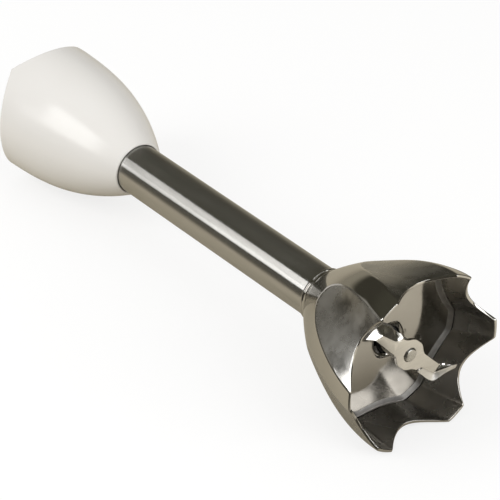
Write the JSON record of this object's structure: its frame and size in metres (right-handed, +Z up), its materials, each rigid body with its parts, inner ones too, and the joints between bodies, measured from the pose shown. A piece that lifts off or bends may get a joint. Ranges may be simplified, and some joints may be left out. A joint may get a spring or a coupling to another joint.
{
  "type": "immersion blender attachment",
  "caption": "Blending attachment for an immersion blender: a scalloped steel bell over a bent two-armed blade, a steel tube, and a glossy white collar that plugs onto the motor unit.",
  "frame": {"origin": "middle of the box of the object as it lies on a table, at the table's height", "axes": "+X along the attachment from the collar to the bell, +Z up from the table, +Y completing the right-handed frame; the drive shaft's axis lies in the XZ plane and tilts 1.16 degrees, bell end up"},
  "size_m": [0.2202, 0.066, 0.0609],
  "materials": {
    "bell_steel": "mirror-polished stainless steel",
    "ceiling_steel": "polished stainless steel plate",
    "tube_steel": "finely drawn and polished stainless steel tube",
    "blade_steel": "stamped stainless steel with ground edges",
    "small_steel": "turned stainless steel",
    "spring_steel": "oiled dark spring steel",
    "bush_bronze": "sintered bronze",
    "collar_white": "glossy moulded white plastic",
    "housing_grey": "moulded light grey plastic",
    "housing_black": "moulded black plastic",
    "coupling_black": "moulded black acetal",
    "seal_rubber": "moulded black rubber"
  },
  "bodies": {
    "attachment_frame": {"guard_bell": "bell_steel", "bell_ceiling": "ceiling_steel", "neck_ring": "bell_steel", "shaft_tube": "tube_steel", "collar_shell": "collar_white", "socket_liner": "collar_white", "tube_o_ring": "seal_rubber", "upper_housing": "housing_grey", "upper_bush": "bush_bronze", "flange_screw_1": "small_steel", "flange_screw_2": "small_steel", "flange_screw_3": "small_steel", "lower_housing": "housing_black", "lower_bush": "bush_bronze", "lip_seal": "seal_rubber", "steady_bush": "housing_grey"},
    "blade_drive": {"drive_shaft": "small_steel", "drive_coupling": "coupling_black", "coupling_pin": "small_steel", "upper_washer": "small_steel", "upper_circlip": "spring_steel", "lower_washer": "small_steel", "lower_circlip": "spring_steel", "blade_spacer": "small_steel", "blade": "blade_steel"}
  },
  "joints": [
    {"name": "blade_spin", "type": "hinge", "parent": "attachment_frame", "child": "blade_drive", "pos_m": [0.10954, 0, 0.03056], "axis": [0.9998, 0, 0.0202], "continuous": true}
  ]
}
